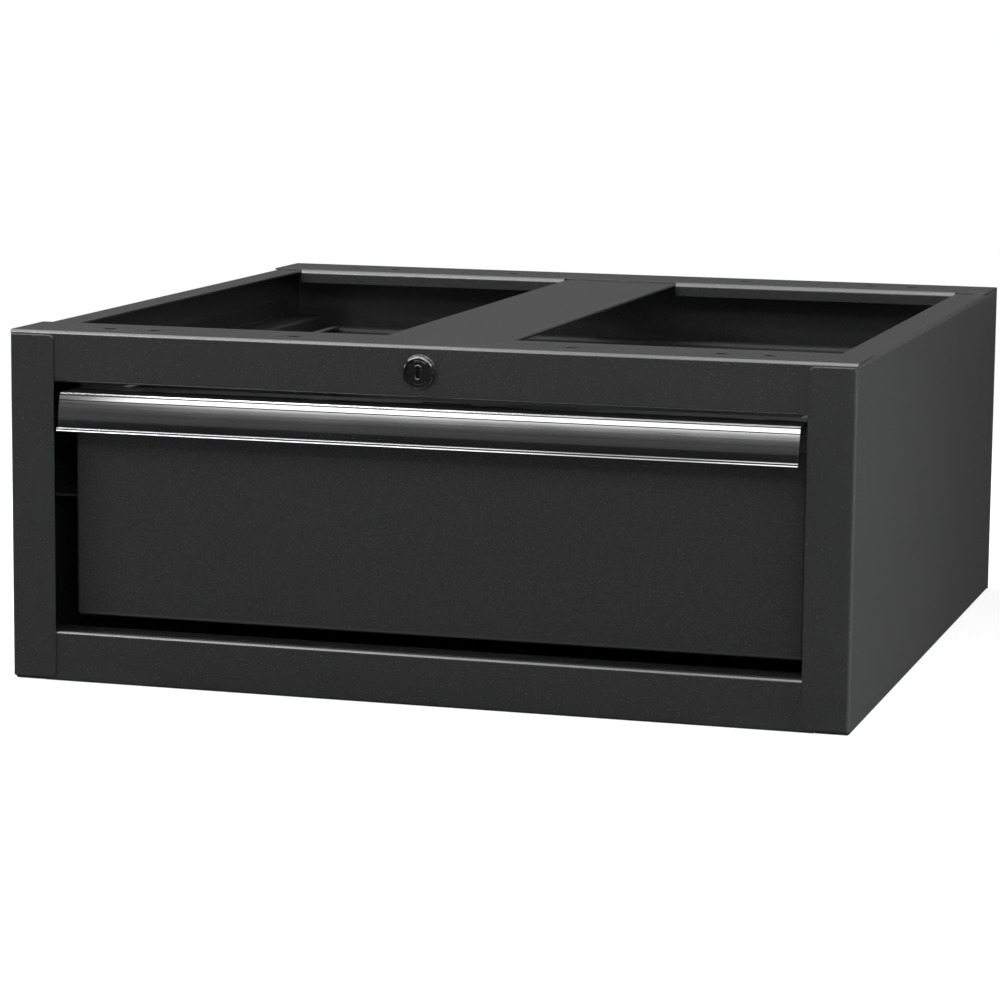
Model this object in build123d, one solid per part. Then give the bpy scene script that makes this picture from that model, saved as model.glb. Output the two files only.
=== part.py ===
from build123d import *
import math
import os

# A single-drawer module: sheet-steel casing, inset drawer on ball slides, cam lock in the top rail.
# Millimetres, +Z up, the drawer opens towards -Y, the origin is at the middle of the footprint.
# Inside this file Y is measured back from the front face of the stiles.

# Casing
CASE_WIDTH = 580.0
CASE_DEPTH = 580.0
CASE_HEIGHT = 240.0
GAUGE = 1.2
BEND = 2.5
FIT = 0.5
STILE_WIDTH = 31.5
STILE_CORNER = 4.0
STILE_TOP_GAP = 0.3
TOP_RAIL_HEIGHT = 34.5
BOTTOM_RAIL_HEIGHT = 35.0
PLATE_DEPTH = 60.0
PLATE_LIP = 10.5
PLATE_LIP_BEND = 3.5
SIDE_FLANGE = 23.0
REAR_FLANGE = 18.0
FLOOR_FLANGE = 23.0
STRAP_WIDTH = 90.0
STRAP_HEM = 12.0
STRAP_OVERLAP = 48.0
HEM_FLAT = 0.15
HOLE_RADIUS = 4.4
HOLE_INSET = 28.0
HOLE_FROM_SIDE = 62.0
HOLE_PAIR_SPACING = 32.0
INNER_HOLE_FROM_MIDDLE = 96.0

# Drawer
DRAWER_RECESS = 27.0
DRAWER_FRONT_GAP = 3.0
DRAWER_SIDE_GAP = 4.5
DRAWER_TOP_GAP = 7.0
DRAWER_BOTTOM_GAP = 7.0
FRONT_DEPTH = 18.0
FRONT_LIP = 12.0
TRAY_GAUGE = 1.0
TRAY_BEND = 2.0
TRAY_RIM = 8.0
TRAY_DROP = 5.0
TRAY_RISE = 4.0
BACK_FOOT = 12.0
BACK_ROLL = 4.5
BACK_ROLL_TAIL = 2.0
SPACE_BEHIND_DRAWER = 40.0

# Pull handle
HANDLE_PROUD = 6.0
HANDLE_WALL = 2.0
HANDLE_LEG = 20.0
HANDLE_FACE = 23.2
HANDLE_TOP_TILT = 18.0
HANDLE_LOW_TILT = 1.5
HANDLE_GROOVE = 0.35
HANDLE_BAND_TOP = 1.3
HANDLE_BAND_LOW = 4.8
HANDLE_LIP = 3.0
HANDLE_LIP_HEIGHT = 2.8
HANDLE_RIM = 0.3
HANDLE_BEAD = 0.7
HANDLE_SCREW_COUNT = 5
HANDLE_SCREW_END = 44.0
HANDLE_SCREW_RADIUS = 2.0
HANDLE_SCREW_HEAD_RADIUS = 3.6
HANDLE_SCREW_HEAD = 2.4

# Slides and their carriers
SLIDE_THICKNESS = 12.7
SLIDE_HEIGHT = 45.6
SLIDE_FROM_FRONT = 3.0
SLIDE_END_GAP = 2.0
SLIDE_GAUGE = 1.1
SLIDE_BEND = 1.5
SLIDE_LIP = 3.0
SLIDE_MOUTH = 2.0
SLOT_LENGTH = 14.0
SLOT_HEIGHT = 5.0
SCREW_ROOM = 2.0
BALL_RADIUS = 2.0
BALL_PLAY = 0.1
BALL_COUNT = 9
CAGE_GAUGE = 0.8
CAGE_WIDTH = 5.0
CAGE_END_ROOM = 15.0
TRAVEL_REMAINDER = 20.0
CARRIER_GAUGE = 1.5
CARRIER_HEIGHT = 80.0
CARRIER_RISE = 2.0
CARRIER_LIP = 12.0
CARRIER_SETBACK = 0.8
FASTENER_COUNT = 3
FASTENER_END = 40.0
FASTENER_PLAY = 0.1
SLIDE_SCREW_RADIUS = 2.0
SLIDE_SCREW_HEAD_RADIUS = 3.8
SLIDE_SCREW_HEAD = 1.5
SLIDE_SCREW_TAIL = 4.0
RIVET_RADIUS = 1.6
RIVET_HEAD_RADIUS = 3.2
RIVET_HEAD = 1.2
BUFFER_LENGTH = 7.0
BUFFER_HEIGHT = 16.0
BUFFER_GAP = 0.3

# Cam lock
BEZEL_RADIUS = 11.5
BEZEL_PROUD = 4.5
BEZEL_FLANGE = 1.2
BEZEL_STEP = 0.6
BEZEL_ROUND = 1.8
BARREL_RADIUS = 9.5
BARREL_FLATS = 16.0
NUT_ACROSS_FLATS = 24.0
NUT_THICKNESS = 4.0
PLUG_RADIUS = 6.5
PLUG_FACE_RADIUS = 8.2
PLUG_FACE_DEPTH = 2.2
PLUG_SUNK = 0.8
PLUG_PLAY = 0.25
KEYWAY_HEIGHT = 8.0
KEYWAY_WIDTH = 2.0
KEYWAY_DEPTH = 14.0
TANG = 6.0
CAM_GAUGE = 2.5
CAM_REACH = 9.0
CAM_WIDTH = 14.0
CAM_BEHIND_SKIN = 5.0
CAM_SLOT_PLAY = 2.0
CAM_SCREW_RADIUS = 1.9
CAM_SCREW_LENGTH = 8.0
CAM_SCREW_HEAD_RADIUS = 3.6
CAM_SCREW_HEAD = 2.4
CAM_WASHER_RADIUS = 5.0
CAM_WASHER = 0.8

# Places that follow from the driving dimensions
HALF_WIDTH = CASE_WIDTH / 2
ORIGIN_SHIFT = -(CASE_DEPTH - HANDLE_PROUD) / 2
RAIL_FACE = GAUGE
RAIL_RETURN = DRAWER_RECESS - DRAWER_FRONT_GAP
RAIL_HALF = HALF_WIDTH - BEND - FIT
FOLD_CLEAR = RAIL_FACE + BEND + FIT
SIDE_TOP = CASE_HEIGHT - GAUGE
OPENING_HALF = HALF_WIDTH - STILE_WIDTH
FLANGE_CLEAR = HALF_WIDTH - SIDE_FLANGE - FIT
STRAP_CLEAR = STRAP_WIDTH / 2 + FIT
OUTER_HOLE_X = HALF_WIDTH - HOLE_FROM_SIDE
HOLE_X = (INNER_HOLE_FROM_MIDDLE, OUTER_HOLE_X - HOLE_PAIR_SPACING, OUTER_HOLE_X)

FRONT_HALF = OPENING_HALF - DRAWER_SIDE_GAP
FRONT_TOP = CASE_HEIGHT - TOP_RAIL_HEIGHT - DRAWER_TOP_GAP
FRONT_BOTTOM = BOTTOM_RAIL_HEIGHT + DRAWER_BOTTOM_GAP
FRONT_BACK = DRAWER_RECESS + FRONT_DEPTH
TRAY_TOP = FRONT_TOP - TRAY_DROP
TRAY_BOTTOM = FRONT_BOTTOM + TRAY_RISE
TRAY_FRONT = FRONT_BACK + TRAY_GAUGE
TRAY_REAR = CASE_DEPTH - SPACE_BEHIND_DRAWER

CARRIER_FACE = OPENING_HALF - CARRIER_SETBACK
TRAY_HALF = CARRIER_FACE - SLIDE_THICKNESS
CARRIER_TOP = FRONT_TOP + CARRIER_RISE
SLIDE_Z = CARRIER_TOP - CARRIER_HEIGHT / 2
SLIDE_START = FRONT_BACK + SLIDE_FROM_FRONT
SLIDE_END = TRAY_REAR - SLIDE_END_GAP
SLIDE_LENGTH = SLIDE_END - SLIDE_START
SLIDE_MIDDLE = (SLIDE_START + SLIDE_END) / 2
OUTER_END = SLIDE_END + BUFFER_GAP + BUFFER_LENGTH
DRAWER_TRAVEL = SLIDE_LENGTH - TRAVEL_REMAINDER
CAGE_LENGTH = SLIDE_LENGTH - DRAWER_TRAVEL / 2 - 2 * CAGE_END_ROOM

# Heights of the slide members and balls above the slide's own centre line
BALL_SPACE = 2 * (BALL_RADIUS + BALL_PLAY)
OUTER_HALF = SLIDE_HEIGHT / 2
MIDDLE_HALF = OUTER_HALF - SLIDE_GAUGE - BALL_SPACE
INNER_HALF = MIDDLE_HALF - SLIDE_GAUGE - BALL_SPACE
OUTER_BALL_Z = MIDDLE_HALF + BALL_SPACE / 2
INNER_BALL_Z = INNER_HALF + BALL_SPACE / 2
MIDDLE_WEB = SLIDE_THICKNESS - SLIDE_GAUGE - SCREW_ROOM
BALL_X = TRAY_HALF + (SLIDE_MOUTH + MIDDLE_WEB) / 2

LOCK_Z = CASE_HEIGHT - TOP_RAIL_HEIGHT / 2
BEZEL_FRONT = RAIL_FACE - BEZEL_PROUD
CAM_FRONT = DRAWER_RECESS + GAUGE + CAM_BEHIND_SKIN
PLUG_REAR = CAM_FRONT
BARREL_REAR = CAM_FRONT - FIT
CAM_REAR = CAM_FRONT + CAM_GAUGE
CAM_DROP = LOCK_Z - FRONT_TOP
CAM_LENGTH = CAM_DROP + CAM_REACH


def fold(path, gauge, radii):
    """Outline of a folded sheet: path runs along its outer face, with the metal on its left."""
    count = len(path)
    points = [Vector(*p) for p in path]
    runs = [(points[i + 1] - points[i]).normalized() for i in range(count - 1)]
    left = [Vector(-r.Y, r.X) for r in runs]
    inside = [points[0] + left[0] * gauge]
    path_radii = []
    inside_radii = []
    for i in range(1, count - 1):
        inside.append(points[i] + (left[i - 1] + left[i]) * gauge)
        outer = radii[i - 1] if isinstance(radii, (list, tuple)) else radii
        turns_left = runs[i - 1].X * runs[i].Y - runs[i - 1].Y * runs[i].X > 0
        path_radii.append(outer if turns_left else outer - gauge)
        inside_radii.append(outer - gauge if turns_left else outer)
    inside.append(points[-1] + left[-1] * gauge)
    outline = points + inside[::-1]
    corners = [0] + path_radii + [0, 0] + inside_radii[::-1] + [0]
    return make_face(FilletPolyline(*outline, radius=corners, close=True))


def along_x(face, half):
    """A section drawn in Y and Z, run both ways along X."""
    return extrude(Plane.YZ * face, amount=half, both=True)


def along_y(face, start, end):
    """A section drawn in X and Z, run along Y."""
    return extrude(Plane.XZ.offset(-end) * face, amount=end - start)


def along_z(face, start, end):
    """A section drawn in X and Y, run along Z."""
    return extrude(Plane.XY.offset(start) * face, amount=end - start)


def block(x0, x1, y0, y1, z0, z1):
    """A box between two corners."""
    middle = Pos((x0 + x1) / 2, (y0 + y1) / 2, (z0 + z1) / 2)
    return middle * Box(x1 - x0, y1 - y0, z1 - z0)


def both_sides(x0, x1, y0, y1, z0, z1):
    """The same box on the right and on the left."""
    return block(x0, x1, y0, y1, z0, z1) + block(-x1, -x0, y0, y1, z0, z1)


def rod_x(radius, x0, x1, y, z):
    """A cylinder along X."""
    return Pos((x0 + x1) / 2, y, z) * Rot(0, 90, 0) * Cylinder(radius, x1 - x0)


def rod_y(radius, y0, y1, x, z):
    """A cylinder along Y."""
    return Pos(x, (y0 + y1) / 2, z) * Rot(90, 0, 0) * Cylinder(radius, y1 - y0)


def to_left(shape):
    """The left-hand copy of a right-hand piece."""
    return mirror(shape, about=Plane.YZ)


def spread(start, end, count):
    """Evenly spaced places from start to end."""
    return [start + (end - start) * i / (count - 1) for i in range(count)]


def fixing_holes(y):
    """The row of fixing holes through a top flange."""
    holes = []
    for x in HOLE_X:
        for side in (-1, 1):
            holes.append(Pos(side * x, y, CASE_HEIGHT) * Cylinder(HOLE_RADIUS, 4 * GAUGE))
    return holes


def lip_notches(y0, y1):
    """Gaps in a flange's lip for the strap and for the side panels' flanges."""
    low = CASE_HEIGHT - PLATE_LIP - FIT
    high = CASE_HEIGHT + FIT
    strap = block(-STRAP_CLEAR, STRAP_CLEAR, y0, y1, low, high)
    return [strap, both_sides(FLANGE_CLEAR, HALF_WIDTH + FIT, y0, y1, low, high)]


def side_panel():
    """Right side panel: wall, stile and rear flange, with flanges turned in at top and bottom."""
    rear = CASE_DEPTH - GAUGE
    path = [(OPENING_HALF, 0), (HALF_WIDTH, 0), (HALF_WIDTH, rear), (HALF_WIDTH - REAR_FLANGE, rear)]
    wall = along_z(fold(path, GAUGE, BEND), BEND, CASE_HEIGHT - BEND - STILE_TOP_GAP)
    stile_ends = wall.edges().filter_by(Axis.Y).filter_by_position(Axis.Y, 0, GAUGE)
    wall = fillet(stile_ends.group_by(Axis.X)[0], STILE_CORNER)
    wall -= block(OPENING_HALF, HALF_WIDTH + FIT, FOLD_CLEAR, CASE_DEPTH, SIDE_TOP - BEND, CASE_HEIGHT)
    inner = HALF_WIDTH - SIDE_FLANGE
    path = [(inner, 0), (HALF_WIDTH, 0), (HALF_WIDTH, SIDE_TOP), (inner, SIDE_TOP)]
    return wall + along_y(fold(path, GAUGE, BEND), FOLD_CLEAR, rear - BEND - FIT)


def back_panel():
    """Back panel with its top flange, lip and floor flange."""
    front = CASE_DEPTH - PLATE_DEPTH
    path = [
        (CASE_DEPTH - FLOOR_FLANGE, 0),
        (CASE_DEPTH, 0),
        (CASE_DEPTH, CASE_HEIGHT),
        (front, CASE_HEIGHT),
        (front, CASE_HEIGHT - PLATE_LIP),
    ]
    panel = along_x(fold(path, GAUGE, [BEND, BEND, PLATE_LIP_BEND]), HALF_WIDTH)
    panel -= lip_notches(front - FIT, front + PLATE_LIP_BEND)
    panel -= both_sides(FLANGE_CLEAR, HALF_WIDTH + FIT, 0, CASE_DEPTH - GAUGE, -FIT, BEND)
    return panel - fixing_holes(CASE_DEPTH - HOLE_INSET)


def top_front_rail():
    """Top rail: lip, top flange, front face and lower return, with the lock's hole."""
    path = [
        (PLATE_DEPTH, CASE_HEIGHT - PLATE_LIP),
        (PLATE_DEPTH, CASE_HEIGHT),
        (RAIL_FACE, CASE_HEIGHT),
        (RAIL_FACE, CASE_HEIGHT - TOP_RAIL_HEIGHT),
        (RAIL_RETURN, CASE_HEIGHT - TOP_RAIL_HEIGHT),
    ]
    rail = along_x(fold(path, GAUGE, [PLATE_LIP_BEND, BEND, BEND]), HALF_WIDTH)
    rail -= lip_notches(PLATE_DEPTH - PLATE_LIP_BEND, PLATE_DEPTH + FIT)
    face_low = CASE_HEIGHT - TOP_RAIL_HEIGHT - FIT
    rail -= both_sides(RAIL_HALF, HALF_WIDTH + FIT, 0, PLATE_DEPTH, face_low, CASE_HEIGHT - BEND)
    rail -= barrel(BARREL_RADIUS + FASTENER_PLAY, BARREL_FLATS + 2 * FASTENER_PLAY, 0, RAIL_RETURN)
    return rail - fixing_holes(HOLE_INSET)


def bottom_front_rail():
    """Bottom rail: upper return, front face and floor flange."""
    path = [
        (RAIL_RETURN, BOTTOM_RAIL_HEIGHT),
        (RAIL_FACE, BOTTOM_RAIL_HEIGHT),
        (RAIL_FACE, 0),
        (FLOOR_FLANGE, 0),
    ]
    rail = along_x(fold(path, GAUGE, BEND), RAIL_HALF)
    return rail - both_sides(FLANGE_CLEAR, HALF_WIDTH, 0, FLOOR_FLANGE + FIT, -FIT, BEND + FIT)


def top_strap():
    """Centre strap under the two top flanges, with its long edges folded flat underneath."""
    half = STRAP_WIDTH / 2
    sheet = SIDE_TOP - GAUGE
    start = PLATE_DEPTH - STRAP_OVERLAP
    end = CASE_DEPTH - start
    strap = block(-half, half, start, end, sheet, SIDE_TOP)
    strap += both_sides(half - STRAP_HEM, half, start, end, sheet - GAUGE, sheet)
    rims = strap.edges().filter_by(Axis.Y).group_by(Axis.X)
    return fillet(rims[0] + rims[-1], GAUGE - HEM_FLAT)


def base_panel():
    """Flat floor of the casing, lying on the floor flanges."""
    return block(-RAIL_HALF, RAIL_HALF, FOLD_CLEAR, CASE_DEPTH - BEND - FIT, GAUGE, 2 * GAUGE)


def fastener_places():
    """Places of the slide fasteners along Y."""
    return spread(SLIDE_START + FASTENER_END, SLIDE_END - FASTENER_END, FASTENER_COUNT)


def runner_carrier():
    """Right hat channel on the side wall, which brings the slide in line with the opening."""
    wall = HALF_WIDTH - GAUGE - CARRIER_GAUGE
    low = CARRIER_TOP - CARRIER_HEIGHT
    path = [
        (wall, CARRIER_TOP + CARRIER_LIP),
        (wall, CARRIER_TOP),
        (CARRIER_FACE, CARRIER_TOP),
        (CARRIER_FACE, low),
        (wall, low),
        (wall, low - CARRIER_LIP),
    ]
    carrier = along_y(fold(path, CARRIER_GAUGE, BEND), SLIDE_START, OUTER_END)
    for y in fastener_places():
        carrier -= rod_x(SLIDE_SCREW_RADIUS + FASTENER_PLAY, CARRIER_FACE - FIT, wall, y, SLIDE_Z)
    return carrier


def slide_slots(x0, x1):
    """Punched slots through a slide member, midway between its fasteners."""
    places = fastener_places()
    slot = extrude(Plane.YZ * SlotOverall(SLOT_LENGTH, SLOT_HEIGHT), amount=x1 - x0)
    return [Pos(x0, (a + b) / 2, SLIDE_Z) * slot for a, b in zip(places, places[1:])]


def slide_channel(mouth, web, half):
    """Section of a slide member that opens towards the drawer."""
    near = TRAY_HALF + mouth
    far = TRAY_HALF + web
    low = SLIDE_Z - half
    high = SLIDE_Z + half
    path = [
        (near, low + SLIDE_LIP),
        (near, low),
        (far, low),
        (far, high),
        (near, high),
        (near, high - SLIDE_LIP),
    ]
    return fold(path, SLIDE_GAUGE, SLIDE_BEND)


def outer_slide():
    """Right outer slide member, screwed to the carrier."""
    slide = along_y(slide_channel(SLIDE_MOUTH, SLIDE_THICKNESS, OUTER_HALF), SLIDE_START, OUTER_END)
    radius = SLIDE_SCREW_RADIUS + FASTENER_PLAY
    for y in fastener_places():
        slide -= rod_x(radius, CARRIER_FACE - 2 * SLIDE_GAUGE, CARRIER_FACE + FIT, y, SLIDE_Z)
    return slide - slide_slots(CARRIER_FACE - 2 * SLIDE_GAUGE, CARRIER_FACE + FIT)


def middle_slide():
    """Right middle slide member, which runs between the other two."""
    slide = along_y(slide_channel(SLIDE_MOUTH, MIDDLE_WEB, MIDDLE_HALF), SLIDE_START, SLIDE_END)
    web = TRAY_HALF + MIDDLE_WEB
    return slide - slide_slots(web - 2 * SLIDE_GAUGE, web + FIT)


def inner_slide():
    """Right inner slide member, riveted to the drawer's side."""
    far = TRAY_HALF + MIDDLE_WEB - SLIDE_GAUGE - FIT
    low = SLIDE_Z - INNER_HALF
    high = SLIDE_Z + INNER_HALF
    path = [(far, high), (TRAY_HALF, high), (TRAY_HALF, low), (far, low)]
    slide = along_y(fold(path, SLIDE_GAUGE, SLIDE_BEND), SLIDE_START, SLIDE_END)
    radius = RIVET_RADIUS + FASTENER_PLAY
    for y in fastener_places():
        slide -= rod_x(radius, TRAY_HALF - FIT, TRAY_HALF + 2 * SLIDE_GAUGE, y, SLIDE_Z)
    return slide - slide_slots(TRAY_HALF - FIT, TRAY_HALF + 2 * SLIDE_GAUGE)


def ball_places():
    """Places of one row of balls along Y."""
    pitch = CAGE_LENGTH / BALL_COUNT
    first = SLIDE_MIDDLE - CAGE_LENGTH / 2 + pitch / 2
    return [first + pitch * i for i in range(BALL_COUNT)]


def ball_cage(height):
    """Right pair of ball cages, above and below the slide's centre line."""
    strips = []
    for side in (-1, 1):
        z = SLIDE_Z + side * height
        strip = Pos(BALL_X, SLIDE_MIDDLE, z) * Box(CAGE_WIDTH, CAGE_LENGTH, CAGE_GAUGE)
        hole = Cylinder(BALL_RADIUS + BALL_PLAY, 2 * CAGE_GAUGE)
        strips.append(strip - [Pos(BALL_X, y, z) * hole for y in ball_places()])
    return strips


def balls(height):
    """Right balls of one stage, above and below the slide's centre line."""
    rows = []
    for side in (-1, 1):
        for y in ball_places():
            rows.append(Pos(BALL_X, y, SLIDE_Z + side * height) * Sphere(BALL_RADIUS))
    return rows


def slide_buffer():
    """Right rubber stop at the closed end of the slide."""
    far = CARRIER_FACE - SLIDE_GAUGE
    half = BUFFER_HEIGHT / 2
    start = SLIDE_END + BUFFER_GAP
    stop = block(TRAY_HALF + SLIDE_MOUTH, far, start, OUTER_END, SLIDE_Z - half, SLIDE_Z + half)
    nose = stop.edges().filter_by(Axis.Z).group_by(Axis.X)[0]
    return fillet(nose, SLIDE_MOUTH)


def carrier_screws():
    """Right screws from the outer slide into its carrier."""
    seat = CARRIER_FACE - SLIDE_GAUGE
    tip = CARRIER_FACE + CARRIER_GAUGE + SLIDE_SCREW_TAIL
    screws = []
    for y in fastener_places():
        head = rod_x(SLIDE_SCREW_HEAD_RADIUS, seat - SLIDE_SCREW_HEAD, seat, y, SLIDE_Z)
        screws.append(head + rod_x(SLIDE_SCREW_RADIUS, seat, tip, y, SLIDE_Z))
    return screws


def runner_rivets():
    """Right rivets from the inner slide into the drawer's side."""
    outside = TRAY_HALF + SLIDE_GAUGE
    inside = TRAY_HALF - TRAY_GAUGE
    rivets = []
    for y in fastener_places():
        head = rod_x(RIVET_HEAD_RADIUS, outside, outside + RIVET_HEAD, y, SLIDE_Z)
        tail = rod_x(RIVET_HEAD_RADIUS, inside - RIVET_HEAD, inside, y, SLIDE_Z)
        rivets.append(head + rod_x(RIVET_RADIUS, inside, outside, y, SLIDE_Z) + tail)
    return rivets


def drawer_front():
    """Inset front pan with return lips, and the slot that the lock's cam drops through."""
    outer = block(-FRONT_HALF, FRONT_HALF, DRAWER_RECESS, FRONT_BACK, FRONT_BOTTOM, FRONT_TOP)
    outer = fillet(outer.faces().sort_by(Axis.Y)[0].edges(), BEND)
    half = FRONT_HALF - GAUGE
    low = FRONT_BOTTOM + GAUGE
    high = FRONT_TOP - GAUGE
    hollow = block(-half, half, DRAWER_RECESS + GAUGE, FRONT_BACK + FIT, low, high)
    hollow = fillet(hollow.faces().sort_by(Axis.Y)[0].edges(), BEND - GAUGE)
    pan = outer - hollow
    for start, end in ((low, low + FRONT_LIP), (high - FRONT_LIP, high)):
        pan += block(-half, half, FRONT_BACK - GAUGE, FRONT_BACK, start, end)
    sweep = math.sqrt(CAM_LENGTH**2 + (CAM_WIDTH / 2) ** 2 - CAM_DROP**2)
    left = -CAM_WIDTH / 2 - CAM_SLOT_PLAY
    right = sweep + CAM_SLOT_PLAY
    slot_front = CAM_FRONT - CAM_SLOT_PLAY
    slot_rear = CAM_REAR + CAM_SLOT_PLAY
    pan -= block(left, right, slot_front, slot_rear, high - FIT, FRONT_TOP + FIT)
    return pan - handle_screw_holes()


def drawer_inner_front():
    """Front wall of the tray, which closes the pan behind the drawer front."""
    return block(-TRAY_HALF, TRAY_HALF, FRONT_BACK, TRAY_FRONT, TRAY_BOTTOM, TRAY_TOP)


def drawer_tray():
    """Floor and sides of the drawer, with rims turned in along the top."""
    rim = TRAY_HALF - TRAY_RIM
    path = [
        (-rim, TRAY_TOP),
        (-TRAY_HALF, TRAY_TOP),
        (-TRAY_HALF, TRAY_BOTTOM),
        (TRAY_HALF, TRAY_BOTTOM),
        (TRAY_HALF, TRAY_TOP),
        (rim, TRAY_TOP),
    ]
    tray = along_y(fold(path, TRAY_GAUGE, TRAY_BEND), TRAY_FRONT, TRAY_REAR)
    roll_front = TRAY_REAR - 2 * BACK_ROLL - FIT
    inside = TRAY_HALF - TRAY_GAUGE
    tray -= block(-inside, inside, roll_front, TRAY_REAR + FIT, TRAY_TOP - TRAY_BEND, TRAY_TOP + FIT)
    radius = RIVET_RADIUS + FASTENER_PLAY
    for y in fastener_places():
        for side in (-1, 1):
            wall = side * TRAY_HALF
            tray -= rod_x(radius, wall - 2 * TRAY_GAUGE, wall + 2 * TRAY_GAUGE, y, SLIDE_Z)
    return tray


def drawer_back():
    """Rear wall of the drawer with a rolled top edge and a foot on the tray's floor."""
    floor = TRAY_BOTTOM + TRAY_GAUGE
    roll = TRAY_REAR - 2 * BACK_ROLL
    path = [
        (TRAY_REAR - BACK_FOOT, floor),
        (TRAY_REAR, floor),
        (TRAY_REAR, TRAY_TOP),
        (roll, TRAY_TOP),
        (roll, TRAY_TOP - BACK_ROLL - BACK_ROLL_TAIL),
    ]
    section = fold(path, TRAY_GAUGE, [TRAY_BEND, BACK_ROLL, BACK_ROLL])
    return along_x(section, TRAY_HALF - TRAY_BEND - FIT)


def handle_screw_places():
    """Places of the handle's screws along X."""
    end = FRONT_HALF - HANDLE_SCREW_END
    return spread(-end, end, HANDLE_SCREW_COUNT)


def handle_screw_z():
    """Height of the handle's screws, in the middle of its leg."""
    return FRONT_TOP - HANDLE_WALL - (HANDLE_LEG - HANDLE_WALL) / 2


def handle_screw_holes():
    """Holes for the handle's screws through its leg and the drawer front."""
    radius = HANDLE_SCREW_RADIUS + FASTENER_PLAY
    start = DRAWER_RECESS - HANDLE_WALL - FIT
    end = DRAWER_RECESS + GAUGE + FIT
    return [rod_y(radius, start, end, x, handle_screw_z()) for x in handle_screw_places()]


def pull_face(drop, depth):
    """Point at a drop below the pull's top edge and a depth behind its curved face."""
    top_tilt = math.radians(HANDLE_TOP_TILT)
    radius = HANDLE_FACE / (math.sin(top_tilt) - math.sin(math.radians(HANDLE_LOW_TILT)))
    tilt = math.asin(math.sin(top_tilt) - drop / radius)
    centre = Vector(radius * math.cos(top_tilt), FRONT_TOP - radius * math.sin(top_tilt))
    return centre + Vector(-math.cos(tilt), math.sin(tilt)) * (radius - depth)


def handle():
    """Full-width pull: web on top, leg on the drawer front, grooved curved face and a beaded lip below."""
    drops = [0, HANDLE_FACE / 2, HANDLE_FACE]
    outer = [pull_face(drop, 0) for drop in drops]
    inner = [pull_face(drop, HANDLE_WALL) for drop in drops]
    top, foot = outer[0], outer[-1]
    section = make_face([
        ThreePointArc(*outer),
        Line(foot, inner[-1]),
        ThreePointArc(*inner),
        Polyline(inner[0], (inner[0].X, FRONT_TOP), top),
    ])
    nose = foot.X - HANDLE_LIP + HANDLE_BEAD
    bead = foot.Y - HANDLE_LIP_HEIGHT + HANDLE_BEAD
    reach = inner[-1].X - nose
    section += Pos(nose + reach / 2, (foot.Y + bead) / 2) * Rectangle(reach, foot.Y - bead)
    section += Pos(nose, bead) * Circle(HANDLE_BEAD)
    section += Pos(nose, foot.Y - HANDLE_RIM) * Circle(HANDLE_RIM)
    for drop in (HANDLE_BAND_TOP, HANDLE_BAND_LOW):
        groove = pull_face(drop, 0)
        section -= Pos(groove.X, groove.Y) * Circle(HANDLE_GROOVE)
    shift = HANDLE_LIP - HANDLE_PROUD - foot.X
    pull = along_x(Pos(shift, 0) * section, FRONT_HALF)
    under = FRONT_TOP - HANDLE_WALL
    web_front = pull_face(HANDLE_WALL, HANDLE_WALL).X + shift
    pull += block(-FRONT_HALF, FRONT_HALF, web_front, DRAWER_RECESS, under, FRONT_TOP)
    leg = DRAWER_RECESS - HANDLE_WALL
    pull += block(-FRONT_HALF, FRONT_HALF, leg, DRAWER_RECESS, FRONT_TOP - HANDLE_LEG, under)
    return pull - handle_screw_holes()


def handle_screws():
    """Screws from inside the drawer front into the handle's leg."""
    seat = DRAWER_RECESS + GAUGE
    tip = DRAWER_RECESS - HANDLE_WALL
    screws = []
    for x in handle_screw_places():
        head = rod_y(HANDLE_SCREW_HEAD_RADIUS, seat, seat + HANDLE_SCREW_HEAD, x, handle_screw_z())
        screws.append(head + rod_y(HANDLE_SCREW_RADIUS, tip, seat, x, handle_screw_z()))
    return screws


def barrel(radius, flats, start, end):
    """A round bar along Y at the lock's place, with two flats."""
    bar = rod_y(radius, start, end, 0, LOCK_Z)
    half = flats / 2
    return bar & block(-half, half, start, end, LOCK_Z - radius, LOCK_Z + radius)


def lock_housing():
    """Lock body: stepped bezel in front of the rail and a barrel behind it."""
    flange = rod_y(BEZEL_RADIUS, RAIL_FACE - BEZEL_FLANGE, RAIL_FACE, 0, LOCK_Z)
    flange = fillet(flange.edges().group_by(Axis.Y)[0], BEZEL_STEP / 2)
    dome = rod_y(BEZEL_RADIUS - BEZEL_STEP, BEZEL_FRONT, RAIL_FACE, 0, LOCK_Z)
    dome = fillet(dome.edges().group_by(Axis.Y)[0], BEZEL_ROUND)
    body = flange + dome + barrel(BARREL_RADIUS, BARREL_FLATS, RAIL_FACE, BARREL_REAR)
    seat = BEZEL_FRONT + PLUG_SUNK + PLUG_FACE_DEPTH + PLUG_PLAY
    body -= rod_y(PLUG_FACE_RADIUS + PLUG_PLAY, BEZEL_FRONT - FIT, seat, 0, LOCK_Z)
    return body - rod_y(PLUG_RADIUS + PLUG_PLAY, BEZEL_FRONT, BARREL_REAR + FIT, 0, LOCK_Z)


def lock_nut():
    """Hexagon nut that clamps the lock to the rail."""
    start = RAIL_FACE + GAUGE
    plane = Plane(origin=(0, start, LOCK_Z), x_dir=(1, 0, 0), z_dir=(0, 1, 0))
    nut = extrude(plane * RegularPolygon(NUT_ACROSS_FLATS / 2, 6, major_radius=False), amount=NUT_THICKNESS)
    return nut - rod_y(BARREL_RADIUS + FASTENER_PLAY, start - FIT, start + NUT_THICKNESS + FIT, 0, LOCK_Z)


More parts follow.
